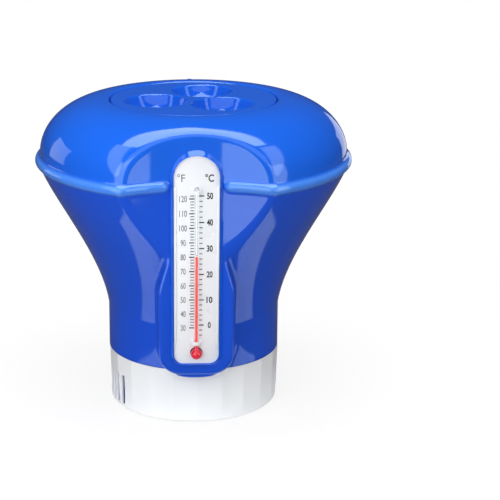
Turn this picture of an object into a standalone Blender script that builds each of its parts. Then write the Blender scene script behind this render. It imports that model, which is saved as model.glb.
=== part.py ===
# Floating chlorine dispenser for a pool, with a thermometer in its front.
# Metres, +Z up. It stands on z = 0, its axis is Z, and the thermometer faces -Y.
import math

import bmesh
import bpy
from mathutils import Matrix, Vector

# Clearances
SEAT_GAP = 0.0003          # between pieces that rest on each other
SLIP_GAP = 0.0004          # around the chamber tube, in the two shells
TURN_GAP = 0.0007          # around the neck, under the turning ring

# Tablet chamber
CHAMBER_RADIUS = 0.041     # inside, takes a three-inch tablet
TUBE_WALL = 0.002
NECK_STEP = 0.0025         # neck beyond the tube, the lower shell stands on this step
NECK_WALL = 0.0021

# Shells
BEAD_RADIUS = 0.089        # widest point, the lips where the shells meet
BEAD_HEIGHT = 0.0076
BEAD_PROUD = 0.0028
SEAM_HEIGHT = 0.142
CREST_HEIGHT = 0.1756
BARREL_TOP = 0.057
SHELL_WALL = 0.0022
FUNNEL_START = 0.029       # reach of the funnel's curve above the barrel
FUNNEL_FLARE = 0.0041      # how far the wall has moved out over that reach
FUNNEL_END = 0.0198        # reach of the curve below the seam
FUNNEL_SPREAD = 0.0082     # how far the wall still has to go over that reach

# Scooped front with its boss
PANEL_INSET = 0.0217       # bead's widest point to the middle of the scoop, at the seam
PANEL_SLOPE = 0.09         # the scoop leans out by this much for each metre up
SCOOP_RADIUS = 0.085
PANEL_WALL = 0.003
BOSS_HALF_WIDTH = 0.0197
BOSS_CORNER = 0.0115
BOSS_GAP = 0.001           # boss over the turning ring

# Window and scale plate
PLATE_HALF_WIDTH = 0.0124
PLATE_THICKNESS = 0.002
PLATE_CORNER = 0.0055
PLATE_MARGIN = 0.0072      # plate's lower end above the boss's lower end
WINDOW_RISE = 0.0174       # plate's upper end above the seam
POCKET_DEPTH = 0.001       # pocket floor behind the middle of the scoop
LIP_WIDTH = 0.0014
LIP_PROUD = 0.0024

# Thermometer
STEM_RADIUS = 0.0013
STEM_WALL = 0.0004
BULB_RADIUS = 0.0031
BULB_WALL = 0.0005
BULB_RISE = 0.0067         # bulb's centre above the plate's lower end
STEM_END = 0.0172          # stem's upper end below the plate's upper end
COLUMN_LENGTH = 0.0571     # spirit above the bulb's centre
STRAP_WIDTH = 0.0056
STRAP_LENGTH = 0.0018
STRAP_WALL = 0.0006
LOWER_STRAP_RISE = 0.0058  # lower strap above the bulb's centre
UPPER_STRAP_DROP = 0.0016  # upper strap below the stem's end

# Lid
LID_OVERHANG = 0.003       # lid's flange beyond the throat
LID_GAP = 0.0005
LID_SINK = 0.0016          # lid's top below the crest
LID_FLANGE = 0.002
LID_EDGE = 0.0008
CREST_BAND = 0.0018        # crest beyond the recess
CREST_DROP = 0.0014
SEAL_THICKNESS = 0.0012
SKIRT_DEPTH = 0.0129
SKIRT_WALL = 0.002
LUG_REACH = 0.0017
LUG_GAP = 0.0005
LUG_HEIGHT = 0.0025
LUG_ANGLE = math.radians(20)
LEDGE_THICKNESS = 0.002
LEDGE_ANGLE = math.radians(22)
LID_LEAD = 0.072           # rise of the ledges for a whole turn
LID_LOCKS = 3
DIMPLE_COUNT = 3
DIMPLE_RADIUS = 0.0165
DIMPLE_DEPTH = 0.011
DIMPLE_WALL = 0.0018
DIMPLE_GAP = 0.0009        # outside of a dimple's bowl to the chamber's wall
DIMPLE_START = math.radians(76)

# Turning ring and base
RING_HEIGHT = 0.031
RING_LIFT = 0.0005         # ring's lower edge above the floor
RING_WALL = 0.0013
RING_FLARE = 0.001         # upper edge beyond the lower edge
RING_FACETS = 22
RING_TURN = math.radians(1.5)
RIB_DROP = 0.0042          # snap rib below the ring's upper edge
RIB_HEIGHT = 0.0016
RIB_BITE = 0.0005          # snap rib into the neck's groove
BARREL_STEP = 0.0002       # barrel inside the ring's upper edge
SLOT_RISE = 0.0025
SLOT_HEIGHT = 0.0175
SLOT_WIDTH = 0.0023
SLOT_COUNT = 7             # in each of two groups
SLOT_PITCH = math.radians(6.75)
SLOT_MIDDLE = math.radians(-78.25)
RING_TRAVEL = math.radians(49)
BASE_FLANGE = 0.0015
BASE_FLOOR = 0.003
BASE_HUB = 0.011
BASE_SLOTS = 8
BASE_SLOT_WIDTH = 0.008
BASE_RIM = 0.008           # uncut rim around the floor's slots
OPENING_MARGIN = 0.001     # neck's openings above the base's floor

# Facets
TURN_STEPS = 48
SMALL_STEPS = 12
SCOOP_STEPS = 96
CURVE_STEPS = 8
REACH = 0.02               # how far a cutter runs past what it cuts

# Radii that follow from the chamber outwards
tube_radius = CHAMBER_RADIUS + TUBE_WALL
throat_radius = tube_radius + SLIP_GAP
neck_radius = tube_radius + NECK_STEP
neck_inner = neck_radius - NECK_WALL
groove_radius = neck_radius - RIB_BITE - SEAT_GAP
ring_inner = neck_radius + TURN_GAP
ring_low_radius = (ring_inner + RING_WALL) / math.cos(math.pi / RING_FACETS)
ring_top_radius = ring_low_radius + RING_FLARE
barrel_radius = ring_top_radius - BARREL_STEP
wall_radius = BEAD_RADIUS - BEAD_PROUD
panel_distance = BEAD_RADIUS - PANEL_INSET
lid_radius = throat_radius + LID_OVERHANG
recess_radius = lid_radius + LID_GAP
crest_radius = recess_radius + CREST_BAND
lug_radius = CHAMBER_RADIUS - LUG_GAP
skirt_radius = lug_radius - LUG_REACH
dimple_circle = CHAMBER_RADIUS - DIMPLE_GAP - DIMPLE_WALL - DIMPLE_RADIUS

# Heights
upper_seam = SEAM_HEIGHT + SEAT_GAP / 2
lower_seam = SEAM_HEIGHT - SEAT_GAP / 2
dome_base = SEAM_HEIGHT + BEAD_HEIGHT / 2
funnel_top = SEAM_HEIGHT - BEAD_HEIGHT / 2
ring_top = RING_LIFT + RING_HEIGHT
shoulder = ring_top + SEAT_GAP
rib_middle = ring_top - RIB_DROP
neck_end = BASE_FLANGE + SEAT_GAP
lid_top = CREST_HEIGHT - LID_SINK
flange_low = lid_top - LID_FLANGE
recess_floor = flange_low - SEAL_THICKNESS - 2 * SEAT_GAP
skirt_low = flange_low - SKIRT_DEPTH
lug_top = skirt_low + LUG_HEIGHT
tube_top = recess_floor - SEAT_GAP
boss_low = ring_top + BOSS_GAP
boss_high = SEAM_HEIGHT - (SEAM_HEIGHT - BARREL_TOP) / 4

# Places on the panel, measured from the seam along its slope
slope_angle = math.atan(PANEL_SLOPE)
plate_low = (boss_low + PLATE_MARGIN - SEAM_HEIGHT) / math.cos(slope_angle)
plate_high = WINDOW_RISE
plate_back = POCKET_DEPTH - SEAT_GAP
plate_front = plate_back - PLATE_THICKNESS
stem_depth = plate_front - SEAT_GAP - STEM_RADIUS
bulb_height = plate_low + BULB_RISE
stem_high = plate_high - STEM_END
bore_radius = STEM_RADIUS - STEM_WALL
cavity_radius = BULB_RADIUS - BULB_WALL

model = None
cutters = None


def start_scene():
    # Empties the scene and makes the two collections.
    global model, cutters
    for obj in list(bpy.data.objects):
        bpy.data.objects.remove(obj, do_unlink=True)
    model = bpy.data.collections.new("floating_chlorine_dispenser")
    cutters = bpy.data.collections.new("cutters")
    for collection in (model, cutters):
        bpy.context.scene.collection.children.link(collection)


def plastic(name, colour, roughness, alpha=1.0):
    # A plain shader with the piece's colour.
    material = bpy.data.materials.new(name)
    material.use_nodes = True
    shader = material.node_tree.nodes["Principled BSDF"]
    shader.inputs["Base Color"].default_value = (*colour, 1.0)
    shader.inputs["Roughness"].default_value = roughness
    shader.inputs["Metallic"].default_value = 0.0
    shader.inputs["Alpha"].default_value = alpha
    return material


def place(name, mesh, material=None):
    # Puts a mesh in the model, or among the cutters if it has no material.
    obj = bpy.data.objects.new(name, mesh)
    if material:
        mesh.materials.append(material)
        model.objects.link(obj)
    else:
        cutters.objects.link(obj)
        obj.hide_render = True
        obj.display_type = "WIRE"
    return obj


def mesh_from(name, bm):
    # Closes a bmesh into a mesh with its faces pointing out.
    bmesh.ops.recalc_face_normals(bm, faces=bm.faces)
    mesh = bpy.data.meshes.new(name)
    bm.to_mesh(mesh)
    bm.free()
    return mesh


def turned(name, profile, material=None, steps=TURN_STEPS, closed=True):
    # Turns a profile of (radius, height) points about Z.
    mesh = bpy.data.meshes.new(name)
    points = [(radius, 0.0, height) for radius, height in profile]
    count = len(points)
    edges = [(i, i + 1) for i in range(count - 1)]
    if closed:
        edges.append((count - 1, 0))
    mesh.from_pydata(points, edges, [])
    obj = place(name, mesh, material)
    screw = obj.modifiers.new("turn", "SCREW")
    screw.steps = steps
    screw.render_steps = steps
    screw.use_merge_vertices = True
    screw.merge_threshold = 0.00001
    screw.use_smooth_shade = True
    return obj


def boolean(obj, operand, operation):
    # Cuts or joins another object, which keeps its own modifiers.
    step = obj.modifiers.new(operation.lower(), "BOOLEAN")
    step.operation = operation
    step.solver = "EXACT"
    step.object = operand


def arc(centre, radius_x, radius_y, first, last, steps):
    # Points on an ellipse from one angle to another, both included.
    points = []
    for i in range(steps + 1):
        angle = first + (last - first) * i / steps
        points.append((centre[0] + radius_x * math.cos(angle), centre[1] + radius_y * math.sin(angle)))
    return points


def rounded_foot(half, low, corner):
    # The lower end of an outline, from its left side round to its right side.
    left = arc((corner - half, low + corner), corner, corner, math.pi, 1.5 * math.pi, CURVE_STEPS // 2)
    right = [(-across, up) for across, up in reversed(left)]
    return left + right


def window_outline(grow):
    # The scale plate's outline, grown all round: full-round top and rounded lower corners.
    half = PLATE_HALF_WIDTH + grow
    top = arc((0.0, plate_high - PLATE_HALF_WIDTH), half, half, 0.0, math.pi, 2 * CURVE_STEPS)
    return top + rounded_foot(half, plate_low - grow, PLATE_CORNER + grow)


def slab(name, outline, front, back, material=None):
    # An outline of (across, up) points as a slab between two depths, front before back along +Y.
    curve = bpy.data.curves.new(name, "CURVE")
    curve.dimensions = "2D"
    curve.fill_mode = "BOTH"
    curve.extrude = (back - front) / 2
    spline = curve.splines.new("POLY")
    spline.points.add(len(outline) - 1)
    for point, (across, up) in zip(spline.points, outline):
        point.co = (across, up, 0.0, 1.0)
    spline.use_cyclic_u = True
    sketch = bpy.data.objects.new(name + "_sketch", curve)
    bpy.context.scene.collection.objects.link(sketch)
    depsgraph = bpy.context.evaluated_depsgraph_get()
    flat = bpy.data.meshes.new_from_object(sketch.evaluated_get(depsgraph))
    bpy.data.objects.remove(sketch, do_unlink=True)
    bm = bmesh.new()
    bm.from_mesh(flat)
    bpy.data.meshes.remove(flat)
    bmesh.ops.remove_doubles(bm, verts=bm.verts, dist=0.000001)
    upright = Matrix.Translation((0.0, (front + back) / 2, 0.0)) @ Matrix.Rotation(math.pi / 2, 4, "X")
    bmesh.ops.transform(bm, matrix=upright, verts=bm.verts)
    return place(name, mesh_from(name, bm), material)


def panel_frame():
    # An empty on the middle of the scoop at the seam, leaning with the panel.
    frame = bpy.data.objects.new("panel_frame", None)
    frame.location = (0.0, -panel_distance, SEAM_HEIGHT)
    frame.rotation_euler = (slope_angle, 0.0, 0.0)
    model.objects.link(frame)
    return frame


def sectors(name, inner, outer, low, high, middles, width, rise):
    # Blocks on a ring, each climbing by rise over its width.
    bm = bmesh.new()
    steps = CURVE_STEPS // 2
    for middle in middles:
        turn = Matrix.Rotation(middle - width / 2, 3, "Z")
        corners = [(inner, low), (outer, low), (outer, high), (inner, high)]
        verts = [bm.verts.new(turn @ Vector((radius, 0.0, height))) for radius, height in corners]
        face = bm.faces.new(verts)
        bmesh.ops.spin(
            bm,
            geom=[face, *face.edges, *verts],
            cent=(0.0, 0.0, 0.0),
            axis=(0.0, 0.0, 1.0),
            dvec=(0.0, 0.0, rise / steps),
            angle=width,
            steps=steps,
            use_merge=False,
        )
    return place(name, mesh_from(name, bm))


def radial_slots(name, angles, width, inner, outer, low, high):
    # Upright boxes that reach from one radius to another; angle 0 is the front.
    bm = bmesh.new()
    for angle in angles:
        made = bmesh.ops.create_cube(bm, size=1.0)["verts"]
        size = Matrix.Diagonal((width, outer - inner, high - low, 1.0))
        spot = Matrix.Translation((0.0, -(inner + outer) / 2, (low + high) / 2))
        turn = Matrix.Rotation(angle, 4, "Z")
        bmesh.ops.transform(bm, matrix=turn @ spot @ size, verts=made)
    return place(name, mesh_from(name, bm))


def vent_angles(turned_by):
    # Two opposite groups of slots.
    angles = []
    for group in range(2):
        middle = SLOT_MIDDLE + turned_by + group * math.pi
        for i in range(SLOT_COUNT):
            angles.append(middle + (i - (SLOT_COUNT - 1) / 2) * SLOT_PITCH)
    return angles


def lock_angles():
    # Where the lid's lugs stand when it is closed.
    return [DIMPLE_START + 2 * math.pi * i / LID_LOCKS for i in range(LID_LOCKS)]


def funnel(inset):
    # The funnel's curve from the bead down to the barrel, moved in by inset.
    wide = Vector((wall_radius, funnel_top))
    narrow = Vector((barrel_radius, BARREL_TOP))
    handles = (
        wide,
        wide - Vector((FUNNEL_SPREAD, FUNNEL_END)),
        narrow + Vector((FUNNEL_FLARE, FUNNEL_START)),
        narrow,
    )
    points = []
    for i in range(CURVE_STEPS + 1):
        t = i / CURVE_STEPS
        weights = ((1 - t) ** 3, 3 * t * (1 - t) ** 2, 3 * t * t * (1 - t), t ** 3)
        point = sum((w * h for w, h in zip(weights, handles)), Vector((0.0, 0.0)))
        points.append((point.x - inset, point.y))
    return points


def dome(inset):
    # The dome's curve from its crest down to the bead.
    across = wall_radius - crest_radius - inset
    up = CREST_HEIGHT - dome_base - inset
    return arc((crest_radius, dome_base), across, up, math.pi / 2, 0.0, CURVE_STEPS + 1)


def scoop(name, grow, waisted):
    # The hollow of the front, as a leaning column. The waist leaves the bead standing on it.
    low = -REACH
    high = CREST_HEIGHT + REACH
    radius = SCOOP_RADIUS + grow
    profile = [(0.0, high), (radius, high)]
    if waisted:
        half = BEAD_HEIGHT / 2
        waist = arc((radius, SEAM_HEIGHT), BEAD_PROUD, half, math.pi / 2, 1.5 * math.pi, 6)
        profile += waist
    profile += [(radius, low), (0.0, low)]
    bm = bmesh.new()
    verts = [bm.verts.new((across, 0.0, up)) for across, up in profile]
    edges = [bm.edges.new(pair) for pair in zip(verts, verts[1:])]
    bmesh.ops.spin(
        bm,
        geom=[*verts, *edges],
        cent=(0.0, 0.0, 0.0),
        axis=(0.0, 0.0, 1.0),
        angle=2 * math.pi,
        steps=SCOOP_STEPS,
        use_merge=True,
    )
    bmesh.ops.remove_doubles(bm, verts=bm.verts, dist=0.00001)
    lean = Matrix.Identity(4)
    lean[1][2] = -PANEL_SLOPE
    lean[1][3] = PANEL_SLOPE * SEAM_HEIGHT
    spot = Matrix.Translation((0.0, -panel_distance - SCOOP_RADIUS, 0.0))
    bmesh.ops.transform(bm, matrix=spot @ lean, verts=bm.verts)
    return place(name, mesh_from(name, bm))


def boss(name, inset):
    # The upright block under the window, with rounded lower corners.
    half = BOSS_HALF_WIDTH - inset
    points = [(half, boss_high), (-half, boss_high)]
    points += rounded_foot(half, boss_low + inset, BOSS_CORNER - inset)
    return slab(name, points, -BEAD_RADIUS, -throat_radius)


def window_tools(frame, shell):
    # The raised lip and the pocket that both shells share.
    lip = slab(shell + "_lip", window_outline(SEAT_GAP + LIP_WIDTH), -LIP_PROUD, PANEL_WALL / 2)
    pocket = slab(shell + "_pocket", window_outline(SEAT_GAP), -REACH, POCKET_DEPTH)
    for tool in (lip, pocket):
        tool.parent = frame
    return lip, pocket


def half_space(name, low, high):
    # A slice across the whole part between two heights.
    bm = bmesh.new()
    bmesh.ops.create_cube(bm, size=1.0)
    size = Matrix.Diagonal((4 * BEAD_RADIUS, 4 * BEAD_RADIUS, high - low, 1.0))
    bmesh.ops.transform(bm, matrix=Matrix.Translation((0.0, 0.0, (low + high) / 2)) @ size, verts=bm.verts)
    return place(name, mesh_from(name, bm))


def build_upper_shell(frame, material):
    # Dome, seam lip and the recess that the lid sits in.
    bead = arc((wall_radius, SEAM_HEIGHT), BEAD_PROUD, BEAD_HEIGHT / 2, math.pi / 2, math.radians(8), 3)
    edge = arc((crest_radius, CREST_HEIGHT - CREST_DROP), CREST_BAND, CREST_DROP, math.pi, math.pi / 2, 3)
    profile = [(throat_radius, recess_floor), (recess_radius, recess_floor)]
    profile += edge[:-1] + dome(0.0)[:-1] + bead
    profile += [(BEAD_RADIUS, upper_seam), (throat_radius, upper_seam)]
    shell = turned("upper_shell", profile, material)

    roof = recess_floor - SHELL_WALL
    hollow_profile = [(tube_radius, roof), (crest_radius, roof)] + dome(SHELL_WALL)
    hollow_profile += [(wall_radius - SHELL_WALL, upper_seam - REACH), (tube_radius, upper_seam - REACH)]
    hollow = turned("upper_hollow", hollow_profile)
    boolean(hollow, scoop("upper_scoop_back", PANEL_WALL, False), "DIFFERENCE")

    lip, pocket = window_tools(frame, "upper")
    boolean(lip, half_space("upper_slice", upper_seam, CREST_HEIGHT + REACH), "INTERSECT")
    boolean(shell, hollow, "DIFFERENCE")
    boolean(shell, scoop("upper_scoop", 0.0, True), "DIFFERENCE")
    boolean(shell, lip, "UNION")
    boolean(shell, pocket, "DIFFERENCE")
    return shell


def build_lower_shell(frame, material):
    # Funnel, barrel and boss. Its floor stands on the neck's step.
    bead = arc((wall_radius, SEAM_HEIGHT), BEAD_PROUD, BEAD_HEIGHT / 2, math.radians(-8), -math.pi / 2, 3)
    profile = [(throat_radius, lower_seam), (BEAD_RADIUS, lower_seam)]
    profile += bead[:-1] + funnel(0.0)
    profile += [(barrel_radius, shoulder), (throat_radius, shoulder)]
    shell = turned("lower_shell", profile, material)
    boolean(shell, boss("boss_block", 0.0), "UNION")

    web = shoulder + SHELL_WALL
    hollow_profile = [(tube_radius, lower_seam + REACH), (wall_radius - SHELL_WALL, lower_seam + REACH)]
    hollow_profile += funnel(SHELL_WALL)
    hollow_profile += [(barrel_radius - SHELL_WALL, web), (tube_radius, web)]
    hollow = turned("lower_hollow", hollow_profile)
    boolean(hollow, boss("boss_hollow", SHELL_WALL), "UNION")
    boolean(hollow, scoop("lower_scoop_back", PANEL_WALL, False), "DIFFERENCE")

    lip, pocket = window_tools(frame, "lower")
    boolean(lip, half_space("lower_slice", 0.0, lower_seam), "INTERSECT")
    boolean(shell, hollow, "DIFFERENCE")
    boolean(shell, scoop("lower_scoop", 0.0, True), "DIFFERENCE")
    boolean(shell, lip, "UNION")
    boolean(shell, pocket, "DIFFERENCE")
    return shell


def build_chamber_tube(material):
    # The sleeve that holds the tablets and closes the float's air space.
    # Its wider neck carries the ring, and its upper end has the ledges for the lid.
    rib_half = RIB_HEIGHT / 2 + SEAT_GAP
    profile = [
        (CHAMBER_RADIUS, tube_top),
        (tube_radius, tube_top),
        (tube_radius, ring_top),
        (neck_radius, ring_top),
        (neck_radius, rib_middle + rib_half),
        (groove_radius, rib_middle + rib_half),
        (groove_radius, rib_middle - rib_half),
        (neck_radius, rib_middle - rib_half),
        (neck_radius, neck_end),
        (neck_inner, neck_end),
        (neck_inner, ring_top - TUBE_WALL),
        (CHAMBER_RADIUS, ring_top - TUBE_WALL),
    ]
    tube = turned("chamber_tube", profile, material)

    # These openings lie behind the ring's slots once the ring has turned by its travel.
    openings = radial_slots(
        "neck_openings",
        vent_angles(RING_TRAVEL),
        SLOT_WIDTH,
        CHAMBER_RADIUS,
        neck_radius + SLIP_GAP,
        BASE_FLOOR + OPENING_MARGIN,
        SLOT_RISE + SLOT_HEIGHT,
    )
    boolean(tube, openings, "DIFFERENCE")

    # A lug turns under its ledge from the closed place, and the ledge climbs with the lid's lead.
    climb = LID_LEAD * LEDGE_ANGLE / (2 * math.pi)
    low = lug_top + SEAT_GAP
    lead_in = (LEDGE_ANGLE - LUG_ANGLE) / 2
    ledges = sectors(
        "throat_ledges",
        skirt_radius + LUG_GAP,
        tube_radius - TUBE_WALL / 2,
        low,
        low + LEDGE_THICKNESS,
        [angle + lead_in for angle in lock_angles()],
        LEDGE_ANGLE,
        climb,
    )
    boolean(tube, ledges, "UNION")
    return tube


def build_base_grille(material):
    # The floor that the tablets lie on, which plugs into the neck.
    plug = neck_inner - SEAT_GAP
    profile = [
        (0.0, BASE_FLOOR),
        (plug, BASE_FLOOR),
        (plug, BASE_FLANGE),
        (neck_radius - SEAT_GAP, BASE_FLANGE),
        (neck_radius - SEAT_GAP, 0.0),
        (0.0, 0.0),
    ]
    grille = turned("base_grille", profile, material, closed=False)
    angles = [2 * math.pi * i / BASE_SLOTS for i in range(BASE_SLOTS)]
    rim = plug - BASE_RIM
    slots = radial_slots("base_slots", angles, BASE_SLOT_WIDTH, BASE_HUB, rim, -REACH, REACH)
    boolean(grille, slots, "DIFFERENCE")
    return grille


def build_vent_ring(material):
    # The ring that turns to open or close the vents. Its snap rib runs in the neck's groove.
    top = ring_top
    low = RING_LIFT
    edge = RING_WALL / 2
    core = groove_radius - TURN_GAP
    outside = [
        (core, top),
        (ring_top_radius, top),
        (ring_low_radius, low + edge),
        (ring_low_radius - edge, low),
        (core, low),
    ]
    ring = turned("vent_ring", outside, material, steps=RING_FACETS)
    ring.rotation_euler = (0.0, 0.0, RING_TURN - math.pi / 2)
    rib = neck_radius - RIB_BITE
    rib_half = RIB_HEIGHT / 2
    inside = [
        (core - TURN_GAP, top + REACH),
        (ring_inner, top + REACH),
        (ring_inner, rib_middle + rib_half),
        (rib, rib_middle + rib_half),
        (rib, rib_middle - rib_half),
        (ring_inner, rib_middle - rib_half),
        (ring_inner, low - REACH),
        (core - TURN_GAP, low - REACH),
    ]
    boolean(ring, turned("ring_bore", inside), "DIFFERENCE")
    slots = radial_slots(
        "ring_slots",
        vent_angles(0.0),
        SLOT_WIDTH,
        neck_radius,
        ring_top_radius + REACH,
        SLOT_RISE,
        SLOT_RISE + SLOT_HEIGHT,
    )
    boolean(ring, slots, "DIFFERENCE")
    return ring


def dimple_bowls(name, grow):
    # Half ellipsoids under the lid's top, one for each finger dimple. Grown ones stop inside the lid.
    bm = bmesh.new()
    for i in range(DIMPLE_COUNT):
        angle = DIMPLE_START + 2 * math.pi * i / DIMPLE_COUNT
        made = bmesh.ops.create_uvsphere(bm, u_segments=20, v_segments=12, radius=1.0)["verts"]
        radius = DIMPLE_RADIUS + grow
        size = Matrix.Diagonal((radius, radius, DIMPLE_DEPTH + grow, 1.0))
        spot = (dimple_circle * math.cos(angle), dimple_circle * math.sin(angle), lid_top)
        bmesh.ops.transform(bm, matrix=Matrix.Translation(spot) @ size, verts=made)
    if grow > 0.0:
        cut = bmesh.ops.bisect_plane(
            bm,
            geom=[*bm.verts, *bm.edges, *bm.faces],
            plane_co=(0.0, 0.0, lid_top - LID_FLANGE / 2),
            plane_no=(0.0, 0.0, 1.0),
            clear_outer=True,
        )["geom_cut"]
        rims = [edge for edge in cut if isinstance(edge, bmesh.types.BMEdge)]
        bmesh.ops.holes_fill(bm, edges=rims)
    return place(name, mesh_from(name, bm))


def build_lid(material):
    # The twist-off lid with its finger dimples, skirt and lugs.
    inner = skirt_radius - SKIRT_WALL
    profile = [(0.0, lid_top)]
    profile += arc((lid_radius - LID_EDGE, lid_top - LID_EDGE), LID_EDGE, LID_EDGE, math.pi / 2, 0.0, 2)
    profile += [
        (lid_radius, flange_low),
        (skirt_radius, flange_low),
        (skirt_radius, skirt_low),
        (inner, skirt_low),
        (inner, flange_low),
        (0.0, flange_low),
    ]
    lid = turned("lid", profile, material, closed=False)
    boolean(lid, dimple_bowls("dimple_outsides", DIMPLE_WALL), "UNION")
    boolean(lid, dimple_bowls("dimples", 0.0), "DIFFERENCE")
    root = skirt_radius - SKIRT_WALL / 2
    lugs = sectors("lid_lugs", root, lug_radius, skirt_low, lug_top, lock_angles(), LUG_ANGLE, 0.0)
    boolean(lid, lugs, "UNION")
    return lid


def build_lid_seal(material):
    # The flat washer between the lid's flange and its recess.
    inner = throat_radius + LID_GAP
    outer = recess_radius - LID_GAP
    low = recess_floor + SEAT_GAP
    high = low + SEAL_THICKNESS
    return turned("lid_seal", [(inner, high), (outer, high), (outer, low), (inner, low)], material)


def build_scale_plate(frame, material):
    # The white plate in the window, with a hole that the bulb sits in.
    plate = slab("scale_plate", window_outline(0.0), plate_front, plate_back, material)
    plate.parent = frame
    hole_radius = BULB_RADIUS + SEAT_GAP
    hole = arc((0.0, bulb_height), hole_radius, hole_radius, 0.0, 2 * math.pi, 2 * SMALL_STEPS)
    seat = slab("bulb_seat", hole[:-1], plate_front - REACH, plate_back + REACH)
    seat.parent = frame
    boolean(plate, seat, "DIFFERENCE")
    return plate


def bulb_profile(ball, stem, high):
    # A stem that ends in a ball, from the stem's upper end down to the lower pole.
    meet = math.acos(stem / ball)
    round_end = arc((0.0, 0.0), ball, ball, meet, -math.pi / 2, CURVE_STEPS)
    return [(stem, high)] + round_end[:-1] + [(0.0, -ball)]


def build_thermometer(frame, glass, spirit):
    # A glass stem and bulb, and the dyed spirit inside them.
    stem_length = stem_high - bulb_height
    outside = bulb_profile(BULB_RADIUS, STEM_RADIUS, stem_length)
    inside = bulb_profile(cavity_radius, bore_radius, stem_length)
    tube = turned("glass_tube", outside + inside[::-1], glass, steps=SMALL_STEPS, closed=False)
    tube.data.edges.add(1)
    last = len(tube.data.vertices) - 1
    tube.data.edges[-1].vertices = (last, 0)
    pole = len(outside) - 1
    drop_edge(tube.data, pole, pole + 1)
    column = bulb_profile(cavity_radius - SEAT_GAP, bore_radius - SEAT_GAP, COLUMN_LENGTH)
    fill = turned("spirit_fill", [(0.0, COLUMN_LENGTH)] + column, spirit, steps=SMALL_STEPS, closed=False)
    for piece in (tube, fill):
        piece.location = (0.0, stem_depth, bulb_height)
        piece.parent = frame


def drop_edge(mesh, first, second):
    # Takes out the profile's edge between two points on the axis.
    bm = bmesh.new()
    bm.from_mesh(mesh)
    bm.verts.ensure_lookup_table()
    edge = bm.edges.get((bm.verts[first], bm.verts[second]))
    bmesh.ops.delete(bm, geom=[edge], context="EDGES_FACES")
    bm.to_mesh(mesh)
    bm.free()


def build_strap(name, height, frame, material):
    # A small bridge over the stem, with its feet on the plate.
    inner = STEM_RADIUS + SEAT_GAP
    outer = inner + STRAP_WALL
    foot = plate_front - SEAT_GAP
    top = foot - STRAP_WALL
    half = STRAP_WIDTH / 2
    crown = arc((0.0, stem_depth), outer, outer, math.radians(-20), math.radians(-160), CURVE_STEPS)
    bore = arc((0.0, stem_depth), inner, inner, -math.pi, 0.0, CURVE_STEPS)
    outline = [(half, foot), (half, top)] + crown + [(-half, top), (-half, foot), (-inner, foot)]
    outline += bore + [(inner, foot)]
    bm = bmesh.new()
    verts = [bm.verts.new((across, depth, 0.0)) for across, depth in outline]
    face = bm.faces.new(verts)
    raised = bmesh.ops.extrude_face_region(bm, geom=[face])["geom"]
    moved = [item for item in raised if isinstance(item, bmesh.types.BMVert)]
    bmesh.ops.translate(bm, vec=(0.0, 0.0, STRAP_LENGTH), verts=moved)
    strap = place(name, mesh_from(name, bm), material)
    strap.location = (0.0, 0.0, height)
    strap.parent = frame


def main():
    start_scene()
    blue = plastic("blue_polypropylene", (0.014, 0.078, 0.69), 0.28)
    deep_blue = plastic("deep_blue_polypropylene", (0.012, 0.06, 0.58), 0.35)
    white = plastic("white_polypropylene", (0.84, 0.85, 0.86), 0.4)
    plate_white = plastic("white_scale_plate", (0.86, 0.88, 0.91), 0.45)
    rubber = plastic("grey_seal_rubber", (0.12, 0.12, 0.13), 0.7)
    glass = plastic("clear_glass", (0.95, 0.96, 0.97), 0.05, 0.35)
    red = plastic("red_spirit", (0.75, 0.01, 0.03), 0.2)

    frame = panel_frame()
    build_upper_shell(frame, blue)
    build_lower_shell(frame, blue)
    build_chamber_tube(deep_blue)
    build_base_grille(deep_blue)
    build_vent_ring(white)
    build_lid(blue)
    build_lid_seal(rubber)
    build_scale_plate(frame, plate_white)
    build_thermometer(frame, glass, red)
    build_strap("lower_tube_strap", bulb_height + LOWER_STRAP_RISE, frame, white)
    build_strap("upper_tube_strap", stem_high - UPPER_STRAP_DROP - STRAP_LENGTH, frame, white)
    for obj in model.objects:
        if obj.type == "MESH":
            obj.data.shade_smooth()
            obj.data.set_sharp_from_angle(angle=math.radians(35))


main()
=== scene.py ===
import math

import bmesh
import bpy
import numpy as np
from mathutils import Matrix, Vector


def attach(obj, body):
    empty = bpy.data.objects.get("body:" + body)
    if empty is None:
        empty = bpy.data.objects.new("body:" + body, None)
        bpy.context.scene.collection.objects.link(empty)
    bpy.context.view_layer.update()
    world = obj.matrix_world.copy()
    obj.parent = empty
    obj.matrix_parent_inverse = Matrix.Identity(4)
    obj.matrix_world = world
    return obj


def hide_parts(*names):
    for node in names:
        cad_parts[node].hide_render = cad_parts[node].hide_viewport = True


# floating chlorine dispenser: lengths are millimetres as far as the stage, and meshes are made in metres
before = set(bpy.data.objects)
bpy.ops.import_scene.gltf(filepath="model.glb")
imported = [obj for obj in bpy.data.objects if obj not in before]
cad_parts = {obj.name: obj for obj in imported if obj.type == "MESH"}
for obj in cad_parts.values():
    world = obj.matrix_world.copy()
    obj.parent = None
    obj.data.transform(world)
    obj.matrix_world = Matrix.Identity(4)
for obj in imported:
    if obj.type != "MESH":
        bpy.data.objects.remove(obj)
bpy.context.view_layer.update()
scene = bpy.context.scene
mm = 0.001
mergeGap = 0.01  # points nearer than this are one
turnedGap = 0.0005  # the same on turned pieces, which have finer steps
rimAngle = 1.0  # radians between two faces that meet at a rim
edgeSteps = 3  # steps across a rounded edge
upright = Matrix.Rotation(math.pi / 2, 4, "X")  # stands flat work up to face -Y

cameraShot = {
    "distance": 906.0, "height": 361.0, "turn": -1.45, "tilt": 73.15,
    "sensor": 36.0, "lens": 118.8, "shift": 0.113,
}


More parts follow.
